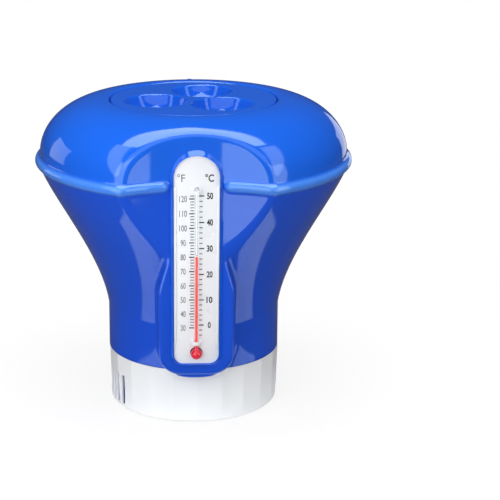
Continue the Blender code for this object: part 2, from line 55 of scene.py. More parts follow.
def addCamera():
    turn = math.radians(cameraShot["turn"])
    data = bpy.data.cameras.new("photoCamera")
    data.sensor_width = cameraShot["sensor"]
    data.lens = cameraShot["lens"]
    data.shift_x = cameraShot["shift"]
    camera = bpy.data.objects.new("photoCamera", data)
    away = cameraShot["distance"] * mm
    camera.location = (away * math.sin(turn), -away * math.cos(turn), cameraShot["height"] * mm)
    camera.rotation_euler = (math.radians(cameraShot["tilt"]), 0.0, turn)
    scene.collection.objects.link(camera)
    scene.camera = camera


addCamera()
print("camera set")


# materials

def srgb(code):
    # hex colour as linear light
    parts = [int(code[i:i + 2], 16) / 255 for i in (1, 3, 5)]
    return [c / 12.92 if c <= 0.04045 else ((c + 0.055) / 1.055) ** 2.4 for c in parts] + [1.0]


def setInputs(tree, node, inputs):
    # a socket is linked, and any other value is set
    for name, value in inputs.items():
        if isinstance(value, bpy.types.NodeSocket):
            tree.links.new(value, node.inputs[name])
        else:
            node.inputs[name].default_value = value


def addNode(tree, kind, inputs=None, **settings):
    node = tree.nodes.new(kind)
    for name, value in settings.items():
        setattr(node, name, value)
    setInputs(tree, node, inputs or {})
    return node


def startMaterial(name):
    # a new material with its node tree, its shader and the place on the piece
    material = bpy.data.materials.new(name)
    material.use_nodes = True
    tree = material.node_tree
    place = addNode(tree, "ShaderNodeTexCoord").outputs["Object"]
    return material, tree, tree.nodes["Principled BSDF"], place


# shared by all skins: the noises' detail, the range of the wear noise and the height of the peel
skin = {
    "flowDetail": 3.0, "wearDetail": 5.0, "peelDetail": 2.0,
    "wearLow": 0.3, "wearHigh": 0.7, "peelHeight": 0.1,
}


def skinMaterial(name, finish):
    # colour drifts a little with the flow, gloss wears in patches, and the skin has a faint orange peel
    material, tree, shader, place = startMaterial(name)
    noises = []
    for size, detail in (
        (finish["flowSize"], skin["flowDetail"]),
        (finish["wearSize"], skin["wearDetail"]),
        (finish["peelSize"], skin["peelDetail"]),
    ):
        noise = addNode(tree, "ShaderNodeTexNoise", {
            "Vector": place, "Scale": 1 / (size * mm), "Detail": detail})
        noises.append(noise.outputs["Fac"])
    flow, wear, peel = noises
    colour = addNode(tree, "ShaderNodeMix", {
        "Factor": flow, "A": srgb(finish["deep"]), "B": srgb(finish["light"])}, data_type="RGBA")
    if "paintedBeadHighlight" in finish:
        # painted highlight: the bead is painted a paler blue where its mesh marks it standing proud of the
        # wall
        paintedBeadHighlight = addNode(tree, "ShaderNodeAttribute", attribute_name="paintedBeadHighlight").outputs["Fac"]
        colour = addNode(tree, "ShaderNodeMix", {
            "Factor": paintedBeadHighlight, "A": colour.outputs["Result"], "B": srgb(finish["paintedBeadHighlight"])}, data_type="RGBA")
    gloss = addNode(tree, "ShaderNodeMapRange", {
        "Value": wear, "From Min": skin["wearLow"], "From Max": skin["wearHigh"],
        "To Min": finish["smooth"], "To Max": finish["dull"]})
    bump = addNode(tree, "ShaderNodeBump", {
        "Height": peel, "Strength": finish["peel"], "Distance": skin["peelHeight"] * mm})
    setInputs(tree, shader, {
        "Base Color": colour.outputs["Result"], "Roughness": gloss.outputs["Result"],
        "Normal": bump.outputs["Normal"], "IOR": finish["ior"], "Specular IOR Level": finish["specular"],
        "Specular Tint": srgb(finish.get("sheen", "#FFFFFF"))})
    return material


# glossy dyed polypropylene, injection moulded: clean mirror-like skin, saturated blue
glossySkin = {
    # the paler blue for the bead is a painted highlight
    "paintedBeadHighlight": "#4989EF", "sheen": "#D8F6FF", "flowSize": 60.0, "wearSize": 25.0, "smooth": 0.05, "dull": 0.10,
    "peelSize": 2.5, "peel": 0.02, "ior": 1.49, "specular": 1.0,
}
# a shade lighter than the lower moulding, which is in part painted light on the upward-facing dome
litBlue = skinMaterial("litBlueMouldedPolypropylene", {
    **glossySkin, "deep": "#175FDE", "light": "#1D69E8"})
# the lower moulding in a deeper blue: in part a deeper batch, in part painted shade on its downward-facing
# funnel
shadedBlue = skinMaterial("shadedDeepBlueMouldedPolypropylene", {
    **glossySkin, "deep": "#144CD0", "light": "#1853D8"})
# the same plastic inside, with the duller skin of a cored mould
innerBlue = skinMaterial("innerBluePolypropylene", {
    "deep": "#173FBE", "light": "#1C49CC", "flowSize": 40.0, "wearSize": 15.0, "smooth": 0.28, "dull": 0.4,
    "peelSize": 1.5, "peel": 0.12, "ior": 1.49, "specular": 0.5})
# white polypropylene, injection moulded, satin from handling
ringWhite = skinMaterial("whiteMouldedPolypropylene", {
    "deep": "#F0F2F4", "light": "#F6F8F9", "flowSize": 30.0, "wearSize": 12.0, "smooth": 0.3, "dull": 0.42,
    "peelSize": 1.2, "peel": 0.1, "ior": 1.49, "specular": 0.5})
# white polystyrene sheet of the scale, smooth and slightly cool
plateWhite = skinMaterial("whiteScalePolystyrene", {
    "deep": "#EEF1F6", "light": "#F4F6F9", "flowSize": 20.0, "wearSize": 9.0, "smooth": 0.25, "dull": 0.35,
    "peelSize": 1.0, "peel": 0.06, "ior": 1.59, "specular": 0.5})
# pad-printed ink, matt with a slightly broken film
inkFilm = {
    "flowSize": 1.6, "wearSize": 1.0, "smooth": 0.5, "dull": 0.7, "peelSize": 0.5, "peel": 0.1,
    "ior": 1.5, "specular": 0.3,
}
greyInk = skinMaterial("greyScaleInk", {**inkFilm, "deep": "#5C5E61", "light": "#727477"})
blackInk = skinMaterial("blackScaleInk", {**inkFilm, "deep": "#17181A", "light": "#2E3033"})
# moulded nitrile rubber, matt with a fine grain
sealRubber = skinMaterial("greyNitrileRubber", {
    "deep": "#26272A", "light": "#33353A", "flowSize": 12.0, "wearSize": 3.0, "smooth": 0.6, "dull": 0.8,
    "peelSize": 0.6, "peel": 0.3, "ior": 1.52, "specular": 0.4})
print("plastics made")


# making and finishing meshes

def finishPiece(name, bm, material, body, replaced=(), place=None, sharp=40.0, turnOut=True):
    # into place, millimetres to metres, normals out, smooth faces with crisp edges, then onto its body
    if place is not None:
        bmesh.ops.transform(bm, matrix=place, verts=bm.verts)
    bmesh.ops.scale(bm, vec=(mm, mm, mm), verts=bm.verts)
    if turnOut:
        bmesh.ops.recalc_face_normals(bm, faces=bm.faces)
    mesh = bpy.data.meshes.new(name)
    bm.to_mesh(mesh)
    bm.free()
    mesh.materials.append(material)
    mesh.shade_smooth()
    mesh.set_sharp_from_angle(angle=math.radians(sharp))
    piece = bpy.data.objects.new(name, mesh)
    scene.collection.objects.link(piece)
    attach(piece, body)
    if replaced:
        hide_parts(*replaced)
    return piece


def finalMesh(obj):
    # the mesh that an object's modifiers or letters come to
    return bpy.data.meshes.new_from_object(obj.evaluated_get(bpy.context.evaluated_depsgraph_get()))


def carve(bm, cutter):
    # cuts one bmesh out of another
    made = []
    for part, label in ((bm, "carved"), (cutter, "cutter")):
        mesh = bpy.data.meshes.new(label)
        part.to_mesh(mesh)
        part.free()
        obj = bpy.data.objects.new(label, mesh)
        scene.collection.objects.link(obj)
        made.append(obj)
    step = made[0].modifiers.new("cut", "BOOLEAN")
    step.operation = "DIFFERENCE"
    step.solver = "EXACT"
    step.object = made[1]
    result = finalMesh(made[0])
    for obj in made:
        mesh = obj.data
        bpy.data.objects.remove(obj)
        bpy.data.meshes.remove(mesh)
    cut = bmesh.new()
    cut.from_mesh(result)
    bpy.data.meshes.remove(result)
    return cut


# kinds of points on a turned profile
stay, outerSkin, innerSkin, seamEdge = range(4)


def lathe(bm, parts, sectors):
    # spins a profile about Z: its parts are (kind, points), and its points (radius, height)
    # the sectors are (first angle, last angle, steps) and make a whole turn
    mark = bm.verts.layers.int.new("kind")
    profile = [(kind, radius, height) for kind, points in parts for radius, height in points]
    for first, last, steps in sectors:
        # a quarter of the sector is spun, and doubled twice, which is much quicker than spinning it all
        quarter = (last - first) / 4
        start = Matrix.Rotation(first, 3, "Z")
        verts = []
        for kind, radius, height in profile:
            verts.append(bm.verts.new(start @ Vector((radius, 0.0, height))))
            verts[-1][mark] = kind
        edges = [bm.edges.new(pair) for pair in zip(verts, verts[1:])]
        if profile[0][1] > 0.0:
            # a profile that starts off the axis is closed
            edges.append(bm.edges.new((verts[-1], verts[0])))
        before = set(bm.faces)
        bmesh.ops.spin(
            bm, geom=verts + edges, cent=(0.0, 0.0, 0.0), axis=(0.0, 0.0, 1.0),
            angle=quarter, steps=steps // 4)
        faces = [face for face in bm.faces if face not in before]
        for turn in (quarter, 2 * quarter):
            copied = bmesh.ops.duplicate(bm, geom=faces)["geom"]
            moved = [item for item in copied if isinstance(item, bmesh.types.BMVert)]
            bmesh.ops.rotate(bm, cent=(0.0, 0.0, 0.0), matrix=Matrix.Rotation(turn, 3, "Z"), verts=moved)
            faces += [item for item in copied if isinstance(item, bmesh.types.BMFace)]
    bmesh.ops.remove_doubles(bm, verts=bm.verts, dist=turnedGap)
    bmesh.ops.recalc_face_normals(bm, faces=bm.faces)
    return mark


def wholeTurn(steps, first=0.0):
    return [(first, first + 2 * math.pi, steps)]


def pullFaces(bm, faces, away):
    # draws flat faces out into a solid
    drawn = bmesh.ops.extrude_face_region(bm, geom=faces)["geom"]
    moved = [item for item in drawn if isinstance(item, bmesh.types.BMVert)]
    bmesh.ops.translate(bm, vec=away, verts=moved)
    bmesh.ops.recalc_face_normals(bm, faces=bm.faces)


def frontRim(bm, front):
    # the edges round a front face
    return [
        edge for edge in bm.edges
        if all(abs(vert.co.y - front) < mergeGap for vert in edge.verts)
        and edge.calc_face_angle(0.0) > rimAngle
    ]


def roundEdges(bm, edges, radius, steps=edgeSteps):
    bmesh.ops.bevel(
        bm, geom=edges, offset=radius, offset_type="OFFSET", segments=steps, profile=0.5,
        affect="EDGES", material=-1)


def curve(centre, across, up, first, last, steps):
    # points on an ellipse, both ends included, angles in degrees
    turn = np.radians(np.linspace(first, last, steps + 1))
    return list(zip(centre[0] + across * np.cos(turn), centre[1] + up * np.sin(turn)))


def heights(first, last, steps, ease=1.0):
    return first + (last - first) * np.linspace(0.0, 1.0, steps + 1) ** ease


def smoothStep(t):
    # 0 to 1 with level ends
    return t * t * (3 - 2 * t)


def softMax(a, b, width):
    # the larger of two, rounded where they are nearly the same
    blend = np.maximum(width - np.abs(a - b), 0.0)
    return np.maximum(a, b) + blend * blend / (4 * width)


# shells

shell = {
    "throat": 43.4, "recess": 46.9, "crest": 48.7, "widest": 86.2, "barrel": 48.79, "thickness": 2.2,
    "shoulder": 31.8, "barrelTop": 57.0, "funnelTop": 138.2, "seam": 142.0, "domeBase": 145.8,
    "recessFloor": 170.2, "crestHeight": 175.6, "crestDrop": 1.4, "crestEnd": 96.0,
    "seamGap": 0.005, "seamCrease": 0.03, "footIn": 0.4, "footUp": 0.3, "belowFoot": 5.0,
    "flare": (4.1, 29.0), "spread": (8.2, 19.8), "frontAngle": 52.0, "frontSteps": 260, "backSteps": 100,
    "outlineSteps": 300, "crestSteps": 8, "domeSteps": 96, "seamSteps": 12, "roofSteps": 16,
    "bossSteps": 34, "bossEase": 1.7, "barrelSteps": 16, "funnelSteps": 104, "insideSteps": 26,
    "nearest": 20.0, "farthest": 95.0, "halvings": 36,
}
scoop = {
    "distance": 67.3, "slope": 0.09, "radius": 85.0, "reach": 84.9, "edgeRound": 2.9,
    "bossHalf": 20.8, "bossCorner": 14.0, "bossLow": 31.6, "bossHigh": 120.0, "bossRound": 2.6,
    "bossStart": 0.02, "bossFoot": 13.0, "bossDrop": 1.7, "bossDropHalf": 12.0,
    "dropBelow": 0.5, "dropOut": 1.0,
    "waistHalf": 16.0, "waistFrom": 80.0, "waistTo": 104.0,
    "beadRadius": 2.8, "beadOut": -0.08, "beadFillet": 1.5, "beadEnd": 15.0, "beadPale": 1.6,
}
window = {
    "half": 12.4, "high": 17.4, "low": -102.7, "corner": 5.5, "topFlat": 0.001,
    "pocket": 1.0, "pocketOut": 1.3, "pocketEdge": 0.6, "topSteps": 28, "cornerSteps": 10,
}
lean = math.atan(scoop["slope"])
panelPlace = Matrix.Translation((0.0, -scoop["distance"], shell["seam"])) @ Matrix.Rotation(lean, 4, "X")


def domeCurve(first, last, steps):
    return curve(
        (shell["crest"], shell["domeBase"]), shell["widest"] - shell["crest"],
        shell["crestHeight"] - shell["domeBase"], first, last, steps)


def shellOutline():
    # radius and height of the plain turned shell, upwards from the barrel
    t = np.linspace(0.0, 1.0, shell["outlineSteps"])[:, None]
    low = np.array((shell["barrel"], shell["barrelTop"]))
    high = np.array((shell["widest"], shell["funnelTop"]))
    handles = (low, low + shell["flare"], high - shell["spread"], high)
    weights = ((1 - t) ** 3, 3 * t * (1 - t) ** 2, 3 * t * t * (1 - t), t ** 3)
    funnel = sum(w * h for w, h in zip(weights, handles))
    dome = np.array(domeCurve(0.0, 90.0, shell["outlineSteps"]))
    return np.concatenate([[(shell["barrel"], shell["shoulder"] - shell["belowFoot"])], funnel, dome])


outline = shellOutline()
outlineSlope = np.gradient(outline[:, 0], outline[:, 1])


def atHeights(levels):
    # points of the plain shell at these heights
    return list(zip(np.interp(levels, outline[:, 1], outline[:, 0]), levels))


def footDistance(across, up, half, low, corner):
    # distance to an upright block with rounded lower corners
    side = np.abs(across) - (half - corner)
    below = low + corner - up
    outside = np.hypot(np.maximum(side, 0.0), np.maximum(below, 0.0))
    return outside + np.minimum(np.maximum(side, below), 0.0) - corner


def windowDistance(across, up):
    # distance to the window's outline, with its full-round top
    centre = window["high"] - window["half"]
    foot = footDistance(across, up, window["half"], window["low"], window["corner"])
    return np.where(up > centre, np.hypot(across, up - centre) - window["half"], foot)


def scoopBow(across):
    # how far the hollow panel comes forward beside its middle
    aside = np.minimum(np.abs(across), scoop["reach"])
    return scoop["radius"] - np.sqrt(scoop["radius"] ** 2 - aside ** 2)


def wallDistance(x, y, z):
    # how far a point lies outside the scooped wall, without the bead
    radius = np.interp(z, outline[:, 1], outline[:, 0])
    facing = 1 / np.hypot(1.0, np.interp(z, outline[:, 1], outlineSlope))
    turned = (np.hypot(x, y) - radius) * facing
    # the boss draws in to a waist below the scoop, and there is none behind
    rise = np.clip((z - scoop["waistFrom"]) / (scoop["waistTo"] - scoop["waistFrom"]), 0.0, 1.0)
    half = scoop["bossHalf"] - (scoop["bossHalf"] - scoop["waistHalf"]) * smoothStep(rise)
    boss = footDistance(x, z, half, scoop["bossLow"], scoop["bossCorner"])
    boss = np.where(y < 0.0, np.maximum(boss, z - scoop["bossHigh"]), shell["farthest"])
    body = -softMax(-turned, -boss, scoop["bossRound"])
    depth = (y + scoop["distance"]) * math.cos(lean) + (z - shell["seam"]) * math.sin(lean)
    up = (z - shell["seam"]) * math.cos(lean) - (y + scoop["distance"]) * math.sin(lean)
    inWindow = np.clip((window["pocketOut"] - windowDistance(x, up)) / window["pocketEdge"], 0.0, 1.0)
    panel = -depth - scoopBow(x) * (1 - inWindow) + window["pocket"] * inWindow
    return softMax(body, panel, scoop["edgeRound"])


def skinDistance(x, y, z):
    # the wall with the bead along the seam, which ends beside the window
    wall = wallDistance(x, y, z)
    past = np.where(y < 0.0, np.maximum(scoop["beadEnd"] + scoop["beadRadius"] - np.abs(x), 0.0), 0.0)
    rise = z - shell["seam"]
    bead = np.sqrt(rise ** 2 + (wall - scoop["beadOut"]) ** 2 + past ** 2) - scoop["beadRadius"]
    return -softMax(-wall, -bead, scoop["beadFillet"])


def settle(points, distance, level):
    # slides points along their rays from the axis until they lie at that distance
    away = np.hypot(points[:, 0], points[:, 1])
    ray = points[:, :2] / away[:, None]
    low = np.full(len(points), shell["nearest"])
    high = np.full(len(points), shell["farthest"])
    for step in range(shell["halvings"]):
        middle = (low + high) / 2
        inside = distance(middle * ray[:, 0], middle * ray[:, 1], points[:, 2]) < level
        low = np.where(inside, middle, low)
        high = np.where(inside, high, middle)
    points[:, :2] = ray * high[:, None]


def buildShell(name, parts, node, material):
    # the turned skins are pressed onto the scooped wall
    bm = bmesh.new()
    half = math.radians(shell["frontAngle"])
    front = -math.pi / 2
    mark = lathe(bm, parts, [
        (front - half, front + half, shell["frontSteps"]),
        (front + half, front - half + 2 * math.pi, shell["backSteps"]),
    ])
    paintedBeadHighlight = bm.verts.layers.float.new("paintedBeadHighlight")
    for kind, distance, level in (
        (outerSkin, skinDistance, 0.0),
        (seamEdge, skinDistance, -shell["seamCrease"]),
        (innerSkin, wallDistance, -shell["thickness"]),
    ):
        verts = [vert for vert in bm.verts if vert[mark] == kind]
        points = np.array([vert.co for vert in verts])
        settle(points, distance, level)
        # the bead is where the skin stands proud of the wall, and that share is where the bead's painted
        # highlight goes
        proud = np.clip(wallDistance(*points.T) / scoop["beadPale"], 0.0, 1.0)
        for vert, point, share in zip(verts, points, proud):
            vert.co = point
            vert[paintedBeadHighlight] = share
    # the boss's foot hangs a little in front of the ring
    dropFrom = shell["shoulder"] + scoop["dropBelow"]
    for vert in bm.verts:
        if vert[mark] == outerSkin and vert.co.y < 0.0 and vert.co.z < dropFrom:
            if math.hypot(vert.co.x, vert.co.y) - shell["barrel"] > scoop["dropOut"]:
                vert.co.z -= scoop["bossDrop"] * max(1 - (vert.co.x / scoop["bossDropHalf"]) ** 2, 0.0)
    piece = finishPiece(name, bm, material, "body", (node,))
    print(name, len(piece.data.polygons), "faces")


def buildUpperShell():
    floor = shell["recessFloor"]
    roof = floor - shell["thickness"]
    recess = [(shell["throat"], roof), (shell["throat"], floor), (shell["recess"], floor)]
    edge = curve(
        (shell["crest"], shell["crestHeight"] - shell["crestDrop"]), shell["crest"] - shell["recess"],
        shell["crestDrop"], 180.0, shell["crestEnd"], shell["crestSteps"])
    dome = domeCurve(90.0, 0.0, shell["domeSteps"])
    seam = shell["seam"] + shell["seamGap"]
    hem = atHeights(heights(shell["domeBase"], seam + shell["seamCrease"], shell["seamSteps"])[1:])
    inside = atHeights(heights(seam, roof, shell["roofSteps"]))
    parts = [
        (stay, recess + edge), (outerSkin, dome + hem), (seamEdge, atHeights([seam])), (innerSkin, inside),
    ]
    buildShell("upperShell", parts, "upper_shell", litBlue)


def buildLowerShell():
    shoulder = shell["shoulder"]
    web = shoulder + shell["thickness"]
    seam = shell["seam"] - shell["seamGap"]
    foot = [
        (shell["throat"], web), (shell["throat"], shoulder), (shell["barrel"] - shell["footIn"], shoulder),
    ]
    bossStart = scoop["bossLow"] - scoop["bossStart"]
    bossFoot = scoop["bossLow"] + scoop["bossFoot"]
    levels = np.concatenate([
        [shoulder + shell["footUp"]],
        heights(bossStart, bossFoot, shell["bossSteps"], shell["bossEase"]),
        heights(bossFoot, shell["barrelTop"], shell["barrelSteps"])[1:],
        heights(shell["barrelTop"], shell["funnelTop"], shell["funnelSteps"])[1:],
        heights(shell["funnelTop"], seam - shell["seamCrease"], shell["seamSteps"])[1:],
    ])
    inside = atHeights(heights(seam, web, shell["insideSteps"]))
    parts = [
        (stay, foot), (outerSkin, atHeights(levels)), (seamEdge, atHeights([seam])), (innerSkin, inside),
    ]
    buildShell("lowerShell", parts, "lower_shell", shadedBlue)


buildUpperShell()
buildLowerShell()


# window, scale plate and prints, drawn upright facing -Y and then leant onto the panel

def windowFace(bm, grow, depth):
    # the plate's outline grown all round: a rectangle with a full-round top and rounded lower corners
    half = window["half"] + grow
    low = window["low"] - grow
    high = window["high"] + grow
    verts = [bm.verts.new((x, depth, z)) for x, z in ((-half, low), (half, low), (half, high), (-half, high))]
    bm.faces.new(verts)
    for pair, radius, steps in (
        (verts[2:], half - window["topFlat"], window["topSteps"]),
        (verts[:2], window["corner"] + grow, window["cornerSteps"]),
    ):
        bmesh.ops.bevel(
            bm, geom=pair, offset=radius, offset_type="OFFSET", segments=steps, profile=0.5,
            affect="VERTICES", material=-1)
    bmesh.ops.remove_doubles(bm, verts=bm.verts, dist=mergeGap)


lip = {
    "inside": 0.15, "width": 1.5, "back": 0.9, "front": -2.6, "flat": 0.08, "sunk": 0.4, "swell": 1.05,
    "steps": 8, "crown": 1.1, "crownEase": 1.5,
}


def buildWindowLip():
    bm = bmesh.new()
    windowFace(bm, lip["inside"] + lip["width"], lip["back"])
    band = bmesh.ops.inset_region(
        bm, faces=bm.faces[:], thickness=lip["width"], depth=0.0,
        use_boundary=True, use_even_offset=True)["faces"]
    bmesh.ops.delete(bm, geom=[face for face in bm.faces if face not in band], context="FACES")
    pullFaces(bm, bm.faces[:], (0.0, lip["front"] - lip["back"], 0.0))
    outer = [
        edge for edge in frontRim(bm, lip["front"])
        if all(windowDistance(vert.co.x, vert.co.z) > lip["width"] / 2 for vert in edge.verts)
    ]
    roundEdges(bm, outer, lip["width"] * (1 - lip["flat"]), lip["steps"])
    # its face slopes from the plate down to the panel, and it is broader over the round top
    centre = window["high"] - window["half"]
    for vert in bm.verts:
        share = (windowDistance(vert.co.x, vert.co.z) - lip["inside"]) / lip["width"]
        share = min(max(share, 0.0), 1.0)
        if vert.co.y < lip["back"] - mergeGap:
            slope = max(share - lip["flat"], 0.0) / (1 - lip["flat"])
            foot = lip["sunk"] - scoopBow(vert.co.x)
            vert.co.y = lip["front"] + (foot - lip["front"]) * slope ** lip["swell"]
        rise = max(vert.co.z - centre, 0.0) / (window["half"] + lip["width"])
        vert.co.z += lip["crown"] * share * rise ** lip["crownEase"]
    finishPiece("windowLip", bm, litBlue, "body", place=panelPlace)


plate = {
    "back": 0.7, "front": -1.3, "edge": 0.35, "bulbHeight": -96.0,
    "seat": 3.4, "seatDepth": 20.0, "seatSteps": 48,
    "railIn": 10.7, "railOut": 12.2, "railLow": -89.6, "railHigh": 0.1, "railProud": 0.7, "railRoot": 0.4,
    "railEdge": 0.35,
}


def buildScalePlate():
    bm = bmesh.new()
    windowFace(bm, 0.0, plate["back"])
    pullFaces(bm, bm.faces[:], (0.0, plate["front"] - plate["back"], 0.0))
    roundEdges(bm, frontRim(bm, plate["front"]), plate["edge"])
    # a round seat for the bulb
    seat = bmesh.new()
    bmesh.ops.create_cone(
        seat, cap_ends=True, segments=plate["seatSteps"], radius1=plate["seat"], radius2=plate["seat"],
        depth=plate["seatDepth"], matrix=Matrix.Translation((0.0, 0.0, plate["bulbHeight"])) @ upright)
    bm = carve(bm, seat)
    finishPiece("scalePlate", bm, plateWhite, "body", ("scale_plate",), panelPlace)


def addBlock(bm, low, high, bevel=0.0):
    # a box between two corners, with its edges rounded where a bevel is given
    made = bmesh.ops.create_cube(bm, size=1.0)["verts"]
    bmesh.ops.scale(bm, vec=[b - a for a, b in zip(low, high)], verts=made)
    bmesh.ops.translate(bm, vec=[(a + b) / 2 for a, b in zip(low, high)], verts=made)
    if bevel:
        roundEdges(bm, list(dict.fromkeys(edge for vert in made for edge in vert.link_edges)), bevel)


def buildRails():
    # two raised strips that stiffen the plate
    bm = bmesh.new()
    for side in (-1, 1):
        left, right = sorted((side * plate["railIn"], side * plate["railOut"]))
        low = (left, plate["front"] - plate["railProud"], plate["railLow"])
        high = (right, plate["front"] + plate["railRoot"], plate["railHigh"])
        addBlock(bm, low, high, plate["railEdge"])
    finishPiece("plateRails", bm, plateWhite, "body", place=panelPlace)


buildWindowLip()
buildScalePlate()
buildRails()
print("window made")

scale = {
    "zero": -81.2, "perDegree": 0.8277, "from": 30.0, "freezing": 32.0, "perCelsius": 1.8,
    "ink": 0.03, "longWidth": 0.66, "shortWidth": 0.46, "letterSteps": 6,
}
fahrenheit = {
    "low": 30, "high": 120, "numberStep": 10, "firstTick": 30, "lastTick": 122, "tickStep": 2,
    "longTick": (-4.0, -1.25), "shortTick": (-3.35, -1.35),
    "digitHeight": 3.5, "digitWidth": 1.35, "numberMiddle": -7.2,
    "bold": 0.008, "signBold": 0.003, "sign": "°F", "signBox": (-10.3, 2.9, -6.2, 7.2),
}
celsius = {
    "low": 0, "high": 50, "numberStep": 10, "firstTick": -4, "lastTick": 50, "tickStep": 2,
    "longTick": (1.35, 4.0), "shortTick": (1.5, 3.1),
    "digitHeight": 3.7, "digitWidth": 1.6, "numberMiddle": 7.0,
    "bold": 0.03, "signBold": 0.02, "sign": "°C", "signBox": (4.4, 2.8, 9.0, 7.2),
}


def addWords(bm, words, box, bold):
    # flat letters fitted to a box of (left, low, right, high), standing on the plate's face
    data = bpy.data.curves.new("words", "FONT")
    data.body = words
    data.offset = bold
    data.resolution_u = scale["letterSteps"]
    obj = bpy.data.objects.new("words", data)
    scene.collection.objects.link(obj)
    mesh = finalMesh(obj)
    bpy.data.objects.remove(obj)
    bpy.data.curves.remove(data)
    before = set(bm.verts)
    bm.from_mesh(mesh)
    bpy.data.meshes.remove(mesh)
    made = [vert for vert in bm.verts if vert not in before]
    left, right = min(v.co.x for v in made), max(v.co.x for v in made)
    low, high = min(v.co.y for v in made), max(v.co.y for v in made)
    home = Matrix.Translation((-left, -low, 0.0))
    size = Matrix.Diagonal(((box[2] - box[0]) / (right - left), (box[3] - box[1]) / (high - low), 1.0, 1.0))
    bmesh.ops.transform(bm, matrix=size @ home, verts=made)
    place = Matrix.Translation((box[0], plate["front"] - scale["ink"], box[1]))
    bmesh.ops.transform(bm, matrix=place @ upright, verts=made)


def heightOf(degrees, side):
    # height of a reading, which the scale counts in Fahrenheit
    warm = degrees if side is fahrenheit else degrees * scale["perCelsius"] + scale["freezing"]
    return scale["zero"] + scale["perDegree"] * (warm - scale["from"])


def buildTicks():
    bm = bmesh.new()
    for side in (fahrenheit, celsius):
        for degrees in range(side["firstTick"], side["lastTick"] + 1, side["tickStep"]):
            long = degrees % side["numberStep"] == 0
            left, right = side["longTick"] if long else side["shortTick"]
            width = scale["longWidth"] if long else scale["shortWidth"]
            middle = heightOf(degrees, side)
            low = (left, plate["front"] - scale["ink"], middle - width / 2)
            high = (right, plate["front"] + scale["ink"], middle + width / 2)
            addBlock(bm, low, high)
    finishPiece("tickPrint", bm, blackInk, "body", place=panelPlace, turnOut=False)


def buildNumbers(name, side, ink):
    bm = bmesh.new()
    tall = side["digitHeight"] / 2
    for degrees in range(side["low"], side["high"] + 1, side["numberStep"]):
        words = str(degrees)
        half = side["digitWidth"] * len(words) / 2
        middle = heightOf(degrees, side)
        box = (side["numberMiddle"] - half, middle - tall, side["numberMiddle"] + half, middle + tall)
        addWords(bm, words, box, side["bold"])
    addWords(bm, side["sign"], side["signBox"], side["signBold"])
    finishPiece(name, bm, ink, "body", place=panelPlace, turnOut=False)


buildTicks()
buildNumbers("fahrenheitPrint", fahrenheit, greyInk)
buildNumbers("celsiusPrint", celsius, blackInk)
print("scale printed")


# thermometer

# drawn soda glass: clear, smooth, with faint draw lines along the stem, given by the metre
sodaGlass = {
    "colour": "#FAFCFC", "ior": 1.47, "specular": 0.25, "dull": 0.06,
    "lines": (2000.0, 2000.0, 60.0), "lineDetail": 1.0,
}
# dyed spirit: deep red up to one height, in the thick bulb, and light red from another, in the thin bore
spirit = {
    "deep": "#D20A26", "light": "#FA4A45", "deepTo": 48.5, "lightFrom": 52.5, "rough": 0.12, "ior": 1.36,
}
tube = {
    "stem": 1.3, "bore": 0.45, "bulb": 3.1, "bulbWall": 0.5, "depth": -2.9, "top": 0.2, "column": 57.1,
    "neckAngle": 52.0, "neckRise": 2.6, "neckEase": 2.2, "boreGap": 1.0, "boreEnd": 2.0,
    "steps": 32, "ballSteps": 20, "neckSteps": 8, "capSteps": 8, "boreSteps": 6,
}


def glassMaterial():
    material, tree, shader, place = startMaterial("clearSodaGlass")
    stretch = addNode(tree, "ShaderNodeMapping", {"Vector": place, "Scale": sodaGlass["lines"]})
    lines = addNode(tree, "ShaderNodeTexNoise", {
        "Vector": stretch.outputs["Vector"], "Scale": 1.0, "Detail": sodaGlass["lineDetail"]})
    gloss = addNode(tree, "ShaderNodeMapRange", {
        "Value": lines.outputs["Fac"], "To Min": 0.0, "To Max": sodaGlass["dull"]})
    setInputs(tree, shader, {
        "Base Color": srgb(sodaGlass["colour"]), "Transmission Weight": 1.0, "IOR": sodaGlass["ior"],
        "Specular IOR Level": sodaGlass["specular"], "Roughness": gloss.outputs["Result"]})
    return material


def spiritMaterial():
    material, tree, shader, place = startMaterial("redDyedSpirit")
    height = addNode(tree, "ShaderNodeSeparateXYZ", {"Vector": place})
    thin = addNode(tree, "ShaderNodeMapRange", {
        "Value": height.outputs["Z"],
        "From Min": spirit["deepTo"] * mm, "From Max": spirit["lightFrom"] * mm})
    colour = addNode(tree, "ShaderNodeMix", {
        "Factor": thin.outputs["Result"], "A": srgb(spirit["deep"]), "B": srgb(spirit["light"])},
        data_type="RGBA")
    setInputs(tree, shader, {
        "Base Color": colour.outputs["Result"], "Roughness": spirit["rough"], "IOR": spirit["ior"]})
    return material


def bulbProfile(ball, stem, top):
    # a ball at the foot, a soft neck and a straight stem with a round end, from the lower pole upwards
    points = curve((0.0, 0.0), ball, ball, -90.0, tube["neckAngle"], tube["ballSteps"])
    points[0] = (0.0, -ball)
    across, up = points[-1]
    for t in heights(0.0, 1.0, tube["neckSteps"])[1:]:
        ease = 1 - (1 - t) ** tube["neckEase"]
        rise = tube["neckRise"] * (smoothStep(t) + t) / 2
        points.append((across + (stem - across) * ease, up + rise))
    points += curve((0.0, top - stem), stem, stem, 0.0, 90.0, tube["capSteps"])
    points[-1] = (0.0, top)
    return points


